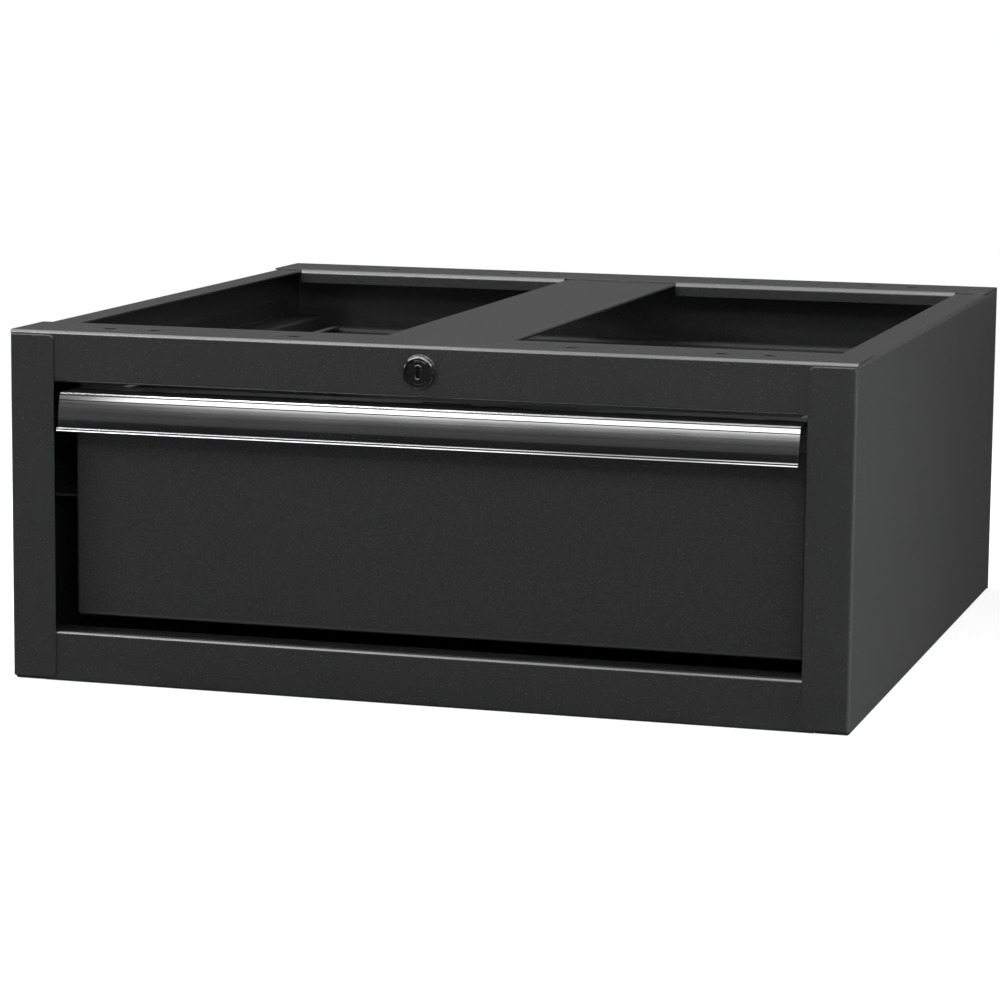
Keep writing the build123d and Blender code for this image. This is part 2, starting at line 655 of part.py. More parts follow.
def lock_plug():
    """Turning plug with its face, keyway and square tang."""
    front = BEZEL_FRONT + PLUG_SUNK
    face = rod_y(PLUG_FACE_RADIUS, front, front + PLUG_FACE_DEPTH, 0, LOCK_Z)
    face = fillet(face.edges().group_by(Axis.Y)[0], BEZEL_STEP)
    plug = face + rod_y(PLUG_RADIUS, front + PLUG_FACE_DEPTH, PLUG_REAR, 0, LOCK_Z)
    half = TANG / 2
    plug += block(-half, half, PLUG_REAR, CAM_REAR, LOCK_Z - half, LOCK_Z + half)
    key = KEYWAY_HEIGHT / 2
    slot = KEYWAY_WIDTH / 2
    plug -= block(-slot, slot, front - FIT, front + KEYWAY_DEPTH, LOCK_Z - key, LOCK_Z + key)
    depth = CAM_REAR - CAM_SCREW_LENGTH
    return plug - rod_y(CAM_SCREW_RADIUS + FASTENER_PLAY, depth, CAM_REAR + FIT, 0, LOCK_Z)


def lock_cam():
    """Cam blade on the plug's tang, level when unlocked."""
    half = CAM_WIDTH / 2
    cam = rod_y(half, CAM_FRONT, CAM_REAR, 0, LOCK_Z)
    cam += block(0, CAM_LENGTH, CAM_FRONT, CAM_REAR, LOCK_Z - half, LOCK_Z + half)
    tang = TANG / 2 + FASTENER_PLAY
    return cam - block(-tang, tang, CAM_FRONT - FIT, CAM_REAR + FIT, LOCK_Z - tang, LOCK_Z + tang)


def cam_washer():
    """Washer that holds the cam on the tang."""
    rear = CAM_REAR + CAM_WASHER
    disc = rod_y(CAM_WASHER_RADIUS, CAM_REAR, rear, 0, LOCK_Z)
    return disc - rod_y(CAM_SCREW_RADIUS + FASTENER_PLAY, CAM_REAR - FIT, rear + FIT, 0, LOCK_Z)


def cam_screw():
    """Screw into the end of the plug."""
    seat = CAM_REAR + CAM_WASHER
    head = rod_y(CAM_SCREW_HEAD_RADIUS, seat, seat + CAM_SCREW_HEAD, 0, LOCK_Z)
    return head + rod_y(CAM_SCREW_RADIUS, CAM_REAR - CAM_SCREW_LENGTH + FIT, seat, 0, LOCK_Z)


SINGLE_PIECES = {
    "back_panel": back_panel,
    "top_front_rail": top_front_rail,
    "bottom_front_rail": bottom_front_rail,
    "top_strap": top_strap,
    "base_panel": base_panel,
    "drawer_front": drawer_front,
    "drawer_inner_front": drawer_inner_front,
    "drawer_tray": drawer_tray,
    "drawer_back": drawer_back,
    "handle": handle,
    "handle_screws": handle_screws,
    "lock_housing": lock_housing,
    "lock_nut": lock_nut,
    "lock_plug": lock_plug,
    "lock_cam": lock_cam,
    "cam_washer": cam_washer,
    "cam_screw": cam_screw,
}

PAIRED_PIECES = {
    "side_panel": side_panel,
    "runner_carrier": runner_carrier,
    "outer_slide": outer_slide,
    "middle_slide": middle_slide,
    "inner_slide": inner_slide,
    "outer_ball_cage": lambda: ball_cage(OUTER_BALL_Z),
    "inner_ball_cage": lambda: ball_cage(INNER_BALL_Z),
    "outer_balls": lambda: balls(OUTER_BALL_Z),
    "inner_balls": lambda: balls(INNER_BALL_Z),
    "slide_buffer": slide_buffer,
    "carrier_screws": carrier_screws,
    "runner_rivets": runner_rivets,
}


def write(name, shape):
    """Place a piece, or a group of like pieces, in the part's frame and write it out."""
    solids = shape if isinstance(shape, list) else [shape]
    group = Compound(children=[Pos(0, ORIGIN_SHIFT, 0) * s for solid in solids for s in solid.solids()])
    group.label = name
    export_step(group, os.path.join("parts", name + ".step"))


os.makedirs("parts", exist_ok=True)
for name, make in SINGLE_PIECES.items():
    write(name, make())
for name, make in PAIRED_PIECES.items():
    right = make()
    write(name + "_right", right)
    write(name + "_left", [to_left(s) for s in right] if isinstance(right, list) else to_left(right))
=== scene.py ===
import logging
import math
from abc import ABC, abstractmethod
from dataclasses import dataclass
from enum import Enum
from typing import Iterable, Optional, Union

import bmesh
import bpy
from mathutils import Euler, Matrix, Vector


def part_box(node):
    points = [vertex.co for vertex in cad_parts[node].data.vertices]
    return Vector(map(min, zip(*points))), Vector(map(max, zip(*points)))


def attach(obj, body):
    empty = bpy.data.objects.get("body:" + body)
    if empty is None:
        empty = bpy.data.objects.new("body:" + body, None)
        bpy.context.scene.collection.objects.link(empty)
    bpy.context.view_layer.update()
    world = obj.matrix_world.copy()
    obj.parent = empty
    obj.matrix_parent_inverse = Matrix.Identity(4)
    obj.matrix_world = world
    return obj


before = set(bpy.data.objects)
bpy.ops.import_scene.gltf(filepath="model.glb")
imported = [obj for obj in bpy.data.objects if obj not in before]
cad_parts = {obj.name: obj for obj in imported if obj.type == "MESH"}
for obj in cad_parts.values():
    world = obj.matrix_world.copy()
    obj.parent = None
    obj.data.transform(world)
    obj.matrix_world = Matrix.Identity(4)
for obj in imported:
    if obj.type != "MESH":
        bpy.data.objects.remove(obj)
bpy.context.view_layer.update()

LOG = logging.getLogger("drawer_module")

Colour = tuple[float, float, float]
Triple = tuple[float, float, float]
Range = tuple[float, float]
Socket = bpy.types.NodeSocket
Input = Union[float, tuple, Socket]
Inputs = dict[Union[str, int], Input]

WHITE = (1, 1, 1, 1)
WHOLE: Range = (0.0, 1.0)
NOISE: Range = (0.25, 0.75)  # where most of a noise lies
TWO_NOISES: Range = (0.12, 0.42)  # where most of the product of two noises lies
SHARP = math.radians(40)  # an edge with this angle or more stays sharp on a smooth piece


class Side(Enum):
    """Side of the module, seen from the front."""

    LEFT = "left"
    RIGHT = "right"


class Combine(Enum):
    """Way to combine the values of a node tree."""

    LARGER = "MAXIMUM"
    PRODUCT = "MULTIPLY"
    ABOVE = "GREATER_THAN"
    NEAR = "COMPARE"


class Graph:
    """Node tree of one material or world, with short ways to add and join its nodes."""

    def __init__(self, tree: bpy.types.NodeTree) -> None:
        """Start from an emptied tree."""
        self.tree = tree
        self.tree.nodes.clear()

    def node(
        self, kind: str, inputs: Optional[Inputs] = None, **settings: object,
    ) -> bpy.types.Node:
        """Add a node, set its attributes and fill or join its inputs.

        Args:
            kind: Blender's name of the node's type.
            inputs: a value or an output socket for each input, by name or place.
            settings: attributes of the node.

        Returns:
            The new node.
        """
        node = self.tree.nodes.new(kind)
        for key, value in settings.items():
            setattr(node, key, value)
        for key, value in (inputs or {}).items():
            if isinstance(value, Socket):
                self.tree.links.new(value, node.inputs[key])
            else:
                node.inputs[key].default_value = value
        return node

    def place(self, stretch: Triple) -> Socket:
        """Coordinates that stay with the piece, stretched along its axes.

        Args:
            stretch: length in metres of one texture unit along X, Y and Z.

        Returns:
            The vector output.
        """
        coords = self.node("ShaderNodeTexCoord").outputs["Object"]
        scale = tuple(1 / length for length in stretch)
        return self.node("ShaderNodeMapping", {"Vector": coords, "Scale": scale}).outputs["Vector"]

    def generated(self) -> Socket:
        """Coordinates from 0 to 1 over a piece's box, or the direction in a world."""
        return self.node("ShaderNodeTexCoord").outputs["Generated"]

    def part(self, vector: Socket, axis: str) -> Socket:
        """One part of a vector, by its axis."""
        return self.node("ShaderNodeSeparateXYZ", {0: vector}).outputs[axis]

    def noise(self, stretch: Triple, detail: float = 2.0, rough: float = 0.5) -> Socket:
        """Smooth noise whose features have the given lengths.

        Args:
            stretch: length in metres of a feature along X, Y and Z.
            detail: octaves of finer noise.
            rough: weight of the finer octaves.

        Returns:
            The factor output, about 0.5 on average.
        """
        place = self.place(stretch)
        inputs = {"Vector": place, "Scale": 1.0, "Detail": detail, "Roughness": rough}
        return self.node("ShaderNodeTexNoise", inputs).outputs["Fac"]

    def cells(self, stretch: Triple) -> Socket:
        """Distance to the nearest of scattered points, as small dots.

        Args:
            stretch: spacing in metres of the points along X, Y and Z.

        Returns:
            The distance output.
        """
        inputs = {"Vector": self.place(stretch), "Scale": 1.0}
        return self.node("ShaderNodeTexVoronoi", inputs).outputs["Distance"]

    def spread(self, value: Socket, result: Range, given: Range = NOISE) -> Socket:
        """Map a varying value onto a range, held at its ends.

        Args:
            value: the value.
            result: results at the start and the end of the value's range.
            given: the value's range.

        Returns:
            The mapped value.
        """
        start = {"From Min": given[0], "To Min": result[0]}
        end = {"From Max": given[1], "To Max": result[1]}
        return self.node("ShaderNodeMapRange", {"Value": value, **start, **end}).outputs["Result"]

    def join(self, way: Combine, *values: Input) -> Socket:
        """Combine varying values, or a varying value with its bounds.

        Args:
            way: how they are combined.
            values: the values.

        Returns:
            The result.
        """
        inputs = dict(enumerate(values))
        return self.node("ShaderNodeMath", inputs, operation=way.value).outputs[0]

    def tint(self, value: Socket, low: Colour, high: Colour) -> Socket:
        """Blend between two colours.

        Args:
            value: the blend, 0 to 1.
            low: colour at 0.
            high: colour at 1.

        Returns:
            The colour.
        """
        ramp = self.node("ShaderNodeValToRGB", {"Fac": value})
        ramp.color_ramp.elements[0].color = (*low, 1)
        ramp.color_ramp.elements[1].color = (*high, 1)
        return ramp.outputs["Color"]

    def bump(self, height: Socket, depth: float, under: Optional[Socket] = None) -> Socket:
        """Turn a height into a shading normal.

        Args:
            height: the height, 0 to 1.
            depth: depth in metres of the whole range.
            under: a normal that this one rides on.

        Returns:
            The normal.
        """
        inputs: Inputs = {"Height": height, "Distance": depth, "Strength": 1.0}
        if under is not None:
            inputs["Normal"] = under
        return self.node("ShaderNodeBump", inputs).outputs["Normal"]

    def principled(self, inputs: Inputs) -> Socket:
        """A surface shader with the given inputs."""
        return self.node("ShaderNodeBsdfPrincipled", inputs).outputs["BSDF"]

    def glow(self, strength: Input) -> Socket:
        """A white emission."""
        return self.node("ShaderNodeEmission", {"Color": WHITE, "Strength": strength}).outputs[0]

    def sky(self, strength: Input) -> Socket:
        """A white background."""
        return self.node("ShaderNodeBackground", {"Color": WHITE, "Strength": strength}).outputs[0]

    def mix(self, share: Socket, first: Socket, second: Socket) -> Socket:
        """Blend two shaders, from the first at 0 to the second at 1."""
        return self.node("ShaderNodeMixShader", {0: share, 1: first, 2: second}).outputs[0]

    def seen_rays(self) -> Socket:
        """Find the rays whose hits are seen.

        Returns:
            A factor that is 1 for camera, glossy and transmission rays.
        """
        path = self.node("ShaderNodeLightPath").outputs
        seen = self.join(Combine.LARGER, path["Is Camera Ray"], path["Is Glossy Ray"])
        return self.join(Combine.LARGER, seen, path["Is Transmission Ray"])

    def surface(self, shader: Socket, output: str = "ShaderNodeOutputMaterial") -> None:
        """Join a shader to the tree's output."""
        self.node(output, {"Surface": shader})


def shade(colour: Colour, factor: float) -> Colour:
    """A lighter or darker shade of a colour."""
    return (colour[0] * factor, colour[1] * factor, colour[2] * factor)


@dataclass(frozen=True)
class Finish(ABC):
    """A surface finish, made once as a material and shared by its pieces. Lengths are in metres."""

    name: str
    slot: str

    @abstractmethod
    def paint(self, graph: Graph) -> Socket:
        """Build the finish's nodes.

        Args:
            graph: the material's empty node tree.

        Returns:
            The shader.
        """

    def material(self) -> bpy.types.Material:
        """The finish's material, built on first use.

        Returns:
            The material.
        """
        found = bpy.data.materials.get(self.name)
        if found is not None:
            return found
        made = bpy.data.materials.new(self.name)
        made.use_nodes = True
        graph = Graph(made.node_tree)
        graph.surface(self.paint(graph))
        return made


@dataclass(frozen=True)
class PowderCoat(Finish):
    """Dark grey powder coat with scattered light specks, a fine grain and a slow orange peel.

    speck_rim gives the shares of the specks' spacing between which a speck fades out, and grain_mix
    how far the grain by itself goes from base_shade to speck_shade.
    """

    name: str = "powder_coat_finish"
    slot: str = "powder_coat"
    colour: Colour = (0.0266, 0.0276, 0.0273)
    refraction: float = 1.9
    coat: float = 1.0
    roughness: Range = (0.2, 0.26)
    base_shade: float = 0.75
    speck: float = 0.0024
    speck_rim: Range = (0.1, 0.24)
    speck_shade: float = 2.1
    grain: float = 0.0014
    grain_mix: Range = (0.1, 0.4)
    grain_depth: float = 0.000012
    peel: float = 0.005
    peel_depth: float = 0.00003
    cloud: float = 0.09
    edge: float = 0.0004
    edge_samples: int = 4

    def paint(self, graph: Graph) -> Socket:
        """Build the coat's nodes, with softly rounded cut edges.

        Args:
            graph: the material's empty node tree.

        Returns:
            The shader.
        """
        grain = graph.noise((self.grain,) * 3, detail=2.0)
        peel = graph.noise((self.peel,) * 3)
        cloud = graph.noise((self.cloud,) * 3, detail=3.0)
        specks = graph.spread(graph.cells((self.speck,) * 3), (1.0, 0.0), self.speck_rim)
        mottle = graph.join(Combine.LARGER, graph.spread(grain, self.grain_mix), specks)
        low, high = shade(self.colour, self.base_shade), shade(self.colour, self.speck_shade)
        patches = graph.join(Combine.PRODUCT, peel, cloud)
        roughness = graph.spread(patches, self.roughness, TWO_NOISES)
        bevel = graph.node("ShaderNodeBevel", {"Radius": self.edge}, samples=self.edge_samples)
        waves = graph.bump(peel, self.peel_depth, bevel.outputs["Normal"])
        normal = graph.bump(grain, self.grain_depth, waves)
        return graph.principled({
            "Base Color": graph.tint(mottle, low, high),
            "Roughness": roughness,
            "IOR": self.refraction,
            "Coat Weight": self.coat,
            "Coat Roughness": roughness,
            "Normal": normal,
            "Coat Normal": normal,
        })


@dataclass(frozen=True)
class ExtrudedAluminium(Finish):
    """Bright aluminium extrusion with fine die lines along its length.

    grooves are the heights of the two grooves in the pull's face, and face_back is where the face
    ends towards the drawer. The grooves and the web behind face_back get a painted shade: a
    near-black colour without gloss that stands for the shade and dark reflections there.
    """

    name: str = "extruded_aluminium_finish"
    slot: str = "aluminium"
    colour: Colour = (0.79, 0.795, 0.8)
    roughness: Range = (0.07, 0.12)
    line: float = 0.0009
    line_length: float = 0.9
    line_depth: float = 0.0000005
    line_shade: float = 0.93
    haze: Triple = (0.05, 0.02, 0.02)
    haze_range: Range = (0.15, 0.4)
    specular: float = 0.5
    grooves: tuple[float, float] = (0.1972, 0.1937)
    groove_half: float = 0.0003
    # share of the metal's colour left in the grooves and behind the face, as painted shade
    painted_shade_factor: float = 0.06
    face_back: float = -0.2853

    def black(self, graph: Graph) -> Socket:
        """Find where shade is painted: the face's grooves and the web behind the face.

        Args:
            graph: the material's node tree.

        Returns:
            A factor that is 1 where shade is painted in near black.
        """
        place = graph.place((1, 1, 1))
        found = graph.join(Combine.ABOVE, graph.part(place, "Y"), self.face_back)
        height = graph.part(place, "Z")
        for level in self.grooves:
            groove = graph.join(Combine.NEAR, height, level, self.groove_half)
            found = graph.join(Combine.LARGER, found, groove)
        return found

    def paint(self, graph: Graph) -> Socket:
        """Build the metal's nodes.

        Args:
            graph: the material's empty node tree.

        Returns:
            The shader.
        """
        lines = graph.noise((self.line_length, self.line, self.line), detail=1.0)
        haze = graph.noise(self.haze, detail=3.0)
        black = self.black(graph)
        dull = shade(self.colour, self.line_shade)
        bright = graph.tint(graph.spread(lines, WHOLE), dull, self.colour)
        # painted shade: near black in the grooves and on the web behind the face, where the pull
        # lies in shade
        painted_shade_colour = (*shade(self.colour, self.painted_shade_factor), 1)
        colour = graph.node("ShaderNodeMixRGB", {"Fac": black, "Color1": bright, "Color2": painted_shade_colour})
        patches = graph.join(Combine.PRODUCT, lines, haze)
        return graph.principled({
            "Base Color": colour.outputs[0],
            "Metallic": graph.spread(black, (1.0, 0.0), WHOLE),
            "Roughness": graph.spread(patches, self.roughness, self.haze_range),
            "Specular IOR Level": graph.spread(black, (self.specular, 0.0), WHOLE),
            "Normal": graph.bump(lines, self.line_depth),
        })


@dataclass(frozen=True)
class ZincPlate(Finish):
    """Bright zinc plate on rolled steel, drawn lengthwise, with cloudy, slightly warm patches."""

    name: str = "zinc_plate_finish"
    slot: str = "zinc_plate"
    colour: Colour = (0.56, 0.57, 0.585)
    warm_colour: Colour = (0.6048, 0.5928, 0.5499)
    dull_shade: float = 0.82
    roughness: Range = (0.24, 0.42)
    cloud: float = 0.012
    line: float = 0.0004
    line_length: float = 0.05
    line_depth: float = 0.000008

    def paint(self, graph: Graph) -> Socket:
        """Build the plate's nodes.

        Args:
            graph: the material's empty node tree.

        Returns:
            The shader.
        """
        cloud = graph.noise((self.cloud,) * 3, detail=4.0, rough=0.6)
        lines = graph.noise((self.line, self.line_length, self.line), detail=3.0)
        dull = shade(self.colour, self.dull_shade)
        patches = graph.join(Combine.PRODUCT, cloud, lines)
        return graph.principled({
            "Base Color": graph.tint(graph.spread(cloud, WHOLE), dull, self.warm_colour),
            "Metallic": 1.0,
            "Roughness": graph.spread(patches, self.roughness, TWO_NOISES),
            "Normal": graph.bump(lines, self.line_depth),
        })


@dataclass(frozen=True)
class BallSteel(Finish):
    """Polished bearing steel with a film of grease."""

    name: str = "ball_steel_finish"
    slot: str = "ball_steel"
    colour: Colour = (0.6, 0.6, 0.61)
    smear_shade: float = 0.75
    roughness: Range = (0.06, 0.2)
    smear: float = 0.0016

    def paint(self, graph: Graph) -> Socket:
        """Build the steel's nodes.

        Args:
            graph: the material's empty node tree.

        Returns:
            The shader.
        """
        smear = graph.noise((self.smear,) * 3, detail=3.0)
        greasy = shade(self.colour, self.smear_shade)
        return graph.principled({
            "Base Color": graph.tint(graph.spread(smear, WHOLE), greasy, self.colour),
            "Metallic": 1.0,
            "Roughness": graph.spread(smear, self.roughness),
        })


@dataclass(frozen=True)
class LockLacquer(Finish):
    """Gloss black lacquer on a die-cast lock body, with faint flecks."""

    name: str = "lock_lacquer_finish"
    slot: str = "lock_black"
    colour: Colour = (0.009, 0.009, 0.0095)
    refraction: float = 2.1
    coat_refraction: float = 1.8
    roughness: Range = (0.04, 0.08)
    peel: float = 0.0022
    peel_depth: float = 0.000004
    fleck: float = 0.0006
    fleck_shade: float = 1.4

    def paint(self, graph: Graph) -> Socket:
        """Build the lacquer's nodes.

        Args:
            graph: the material's empty node tree.

        Returns:
            The shader.
        """
        peel = graph.noise((self.peel,) * 3)
        flecks = graph.spread(graph.cells((self.fleck,) * 3), WHOLE)
        return graph.principled({
            "Base Color": graph.tint(flecks, shade(self.colour, self.fleck_shade), self.colour),
            "Roughness": graph.spread(peel, self.roughness),
            "IOR": self.refraction,
            "Coat Weight": 1.0,
            "Coat IOR": self.coat_refraction,
            "Normal": graph.bump(peel, self.peel_depth),
        })


@dataclass(frozen=True)
class BufferRubber(Finish):
    """Matt black moulded rubber."""

    name: str = "buffer_rubber_finish"
    slot: str = "rubber"
    colour: Colour = (0.018, 0.018, 0.018)
    shades: tuple[float, float] = (0.7, 1.4)
    roughness: Range = (0.7, 0.9)
    specular: float = 0.3
    grain: float = 0.0008
    grain_depth: float = 0.00004

    def paint(self, graph: Graph) -> Socket:
        """Build the rubber's nodes.

        Args:
            graph: the material's empty node tree.

        Returns:
            The shader.
        """
        grain = graph.noise((self.grain,) * 3, detail=3.0)
        low, high = (shade(self.colour, factor) for factor in self.shades)
        return graph.principled({
            "Base Color": graph.tint(graph.spread(grain, WHOLE), low, high),
            "Roughness": graph.spread(grain, self.roughness),
            "Specular IOR Level": self.specular,
            "Normal": graph.bump(grain, self.grain_depth),
        })


CASING_COAT = PowderCoat()
PANEL_COAT = PowderCoat("panel_coat_finish", edge=0.0012)
# painted light: the drawer front's copy of the coat is lighter than the casing's, standing in for
# the sheen that its lower gloss leaves out
LIGHTENED_FRONT_COAT = PowderCoat(
    "drawer_front_finish", colour=(0.0315, 0.0326, 0.0322), refraction=1.5, coat=0.0,
    speck_shade=1.75,
)
DULL_COAT = PowderCoat("dull_coat_finish", refraction=1.4, coat=0.0, roughness=(0.42, 0.52))


class SubAssembly(ABC):
    """A group of pieces that is built and dressed together."""

    def dress(self, finish: Finish, *nodes: str) -> None:
        """Give CAD nodes their finish.

        Args:
            finish: the finish.
            nodes: names of the nodes.
        """
        for name in nodes:
            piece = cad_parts[name]
            if not piece.material_slots:
                piece.data.materials.append(None)
            for slot in piece.material_slots:
                slot.material = finish.material()
            LOG.info("%s: %s", name, finish.name)

    def add(
        self, name: str, points: list[Vector], faces: list[tuple[int, ...]], finish: Finish,
        body: str,
    ) -> None:
        """Add a new piece in its finish, on the body that it moves with.

        Args:
            name: the piece's name.
            points: its vertices, in metres in the module's frame.
            faces: its faces, as places in points.
            finish: the finish.
            body: the CAD body that carries it.
        """
        mesh = bpy.data.meshes.new(name)
        mesh.from_pydata([tuple(point) for point in points], [], faces)
        shell = bmesh.new()
        shell.from_mesh(mesh)
        bmesh.ops.recalc_face_normals(shell, faces=shell.faces)
        shell.to_mesh(mesh)
        shell.free()
        mesh.polygons.foreach_set("use_smooth", [True] * len(mesh.polygons))
        mesh.set_sharp_from_angle(angle=SHARP)
        mesh.materials.append(finish.material())
        piece = bpy.data.objects.new(name, mesh)
        bpy.context.scene.collection.objects.link(piece)
        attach(piece, body)
        LOG.info("%s: new piece on %s, %s", name, body, finish.name)

    @abstractmethod
    def build(self) -> None:
        """Build the sub-assembly's own meshes and dress all its pieces."""


@dataclass
class Casing(SubAssembly):
    """Folded and spot-welded sheet-steel casing."""

    coat: PowderCoat = CASING_COAT
    panel_coat: PowderCoat = PANEL_COAT
    inside: PowderCoat = DULL_COAT

    def build(self) -> None:
        """Dress the sheets, with softer edges on the side panels and a duller coat inside."""
        self.dress(self.panel_coat, "side_panel_left", "side_panel_right")
        self.dress(self.coat, "back_panel", "top_front_rail", "bottom_front_rail")
        self.dress(self.coat, "top_strap", "base_panel")
        self.dress(self.inside, "runner_carrier_left", "runner_carrier_right")


@dataclass
class Drawer(SubAssembly):
    """Inset drawer with its full-width pull."""

    coat: PowderCoat = LIGHTENED_FRONT_COAT
    inside: PowderCoat = DULL_COAT
    pull: ExtrudedAluminium = ExtrudedAluminium()
    screws: ZincPlate = ZincPlate()

    def build(self) -> None:
        """Dress the drawer's front, duller inside, pull and screws."""
        self.dress(self.coat, "drawer_front")
        self.dress(self.inside, "drawer_inner_front", "drawer_tray", "drawer_back")
        self.dress(self.pull, "handle")
        self.dress(self.screws, "handle_screws")


@dataclass
class BallSlide(SubAssembly):
    """Three-part ball slide on one side of the drawer."""

    side: Side
    plate: ZincPlate = ZincPlate()
    steel: BallSteel = BallSteel()
    rubber: BufferRubber = BufferRubber()

    def named(self, *pieces: str) -> list[str]:
        """Names of the pieces on this slide's side."""
        return [f"{piece}_{self.side.value}" for piece in pieces]

    def build(self) -> None:
        """Dress the slide's members, cages, balls, fasteners and buffer."""
        self.dress(self.plate, *self.named("outer_slide", "middle_slide", "inner_slide"))
        self.dress(self.plate, *self.named("outer_ball_cage", "inner_ball_cage"))
        self.dress(self.plate, *self.named("carrier_screws", "runner_rivets"))
        self.dress(self.steel, *self.named("outer_balls", "inner_balls"))
        self.dress(self.rubber, *self.named("slide_buffer"))


@dataclass
class CamLock(SubAssembly):
    """Cam lock in the top rail, with a bead round its keyway and a shutter inside it."""

    lacquer: LockLacquer = LockLacquer()
    plate: ZincPlate = ZincPlate()
    body: str = "lock_core"
    bead: float = 0.0006
    bead_across: float = 0.0022
    bead_up: float = 0.0046
    bead_steps: int = 64
    bead_arc: int = 12
    shutter_across: float = 0.0019
    shutter_up: float = 0.0078
    shutter_bow: float = 0.0006
    shutter_depth: float = 0.0012
    shutter_gauge: float = 0.0004
    shutter_steps: int = 12

    def build(self) -> None:
        """Build the bead and the shutter, and dress the lock's pieces."""
        self.dress(self.lacquer, "lock_housing", "lock_plug")
        self.dress(self.plate, "lock_nut", "lock_cam", "cam_washer", "cam_screw")
        low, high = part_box("lock_plug")
        face = Vector(((low[0] + high[0]) / 2, low[1], (low[2] + high[2]) / 2))
        self.surround(face)
        self.shutter(face)

    def surround(self, face: Vector) -> None:
        """Build the half-round bead on the plug's face.

        Args:
            face: middle of the plug's face.
        """
        straight = self.bead_up - self.bead_across
        section = self.bead_arc + 1
        points = []
        faces = []
        for step in range(self.bead_steps):
            turn = math.tau * (step + 0.5) / self.bead_steps
            out = Vector((math.sin(turn), 0, math.cos(turn)))
            rise = Vector((0, 0, math.copysign(straight, out.z)))
            middle = face + out * self.bead_across + rise
            here, there = step * section, (step + 1) % self.bead_steps * section
            for place in range(section):
                tilt = math.pi * place / self.bead_arc
                proud = Vector((0, -self.bead * math.sin(tilt), 0))
                points.append(middle + out * (self.bead * math.cos(tilt)) + proud)
                onward = (place + 1) % section
                faces.append((here + place, there + place, there + onward, here + onward))
        self.add("keyway_bead", points, faces, self.lacquer, self.body)

    def shutter(self, face: Vector) -> None:
        """Build the bowed shutter a little way down the keyway.

        Args:
            face: middle of the plug's face.
        """
        front = []
        for step in range(self.shutter_steps + 1):
            share = 2 * step / self.shutter_steps - 1
            bowed = self.shutter_depth + self.shutter_bow * share * share
            front.append((share * self.shutter_across / 2, bowed))
        outline = front + [(x, y + self.shutter_gauge) for x, y in reversed(front)]
        count = len(outline)
        ends = (-self.shutter_up / 2, self.shutter_up / 2)
        points = [face + Vector((x, y, z)) for z in ends for x, y in outline]
        faces = []
        for here in range(count):
            there = (here + 1) % count
            faces.append((here, there, count + there, count + here))
        faces += [tuple(range(count)), tuple(range(count, 2 * count))]
        self.add("keyway_shutter", points, faces, self.lacquer, self.body)


@dataclass(frozen=True)
class SoftLight:
    """A rectangular soft light that looks at a point."""

    name: str
    place: Triple
    aim: Triple
    width: float
    height: float
    brightness: float
    mirrored: bool = True

    def build(self) -> bpy.types.Object:
        """Add the light.

        Returns:
            The light's object.
        """
        data = bpy.data.lights.new(self.name, "AREA")
        data.shape = "RECTANGLE"
        data.size = self.width
        data.size_y = self.height
        data.energy = self.brightness * math.pi * self.width * self.height
        light = bpy.data.objects.new(self.name, data)
        light.location = self.place
        way = Vector(self.aim) - Vector(self.place)
        light.rotation_euler = way.to_track_quat("-Z", "Y").to_euler()
        light.visible_camera = False
        light.visible_glossy = self.mirrored
        bpy.context.scene.collection.objects.link(light)
        return light


def studio_sheet(name: str, corners: Iterable[Vector]) -> tuple[bpy.types.Object, Graph]:
    """Add a flat sheet to the stage, in a material that isn't sampled as a lamp.

    Args:
        name: the sheet's name.
        corners: its four corners, in order round it.

    Returns:
        The sheet's object and its material's empty node tree.
    """
    mesh = bpy.data.meshes.new(name)
    mesh.from_pydata([tuple(corner) for corner in corners], [], [(0, 1, 2, 3)])
    paint = bpy.data.materials.new(f"{name}_paint")
    paint.use_nodes = True
    paint.cycles.emission_sampling = "NONE"
    mesh.materials.append(paint)
    sheet = bpy.data.objects.new(name, mesh)
    bpy.context.scene.collection.objects.link(sheet)
    return sheet, Graph(paint.node_tree)


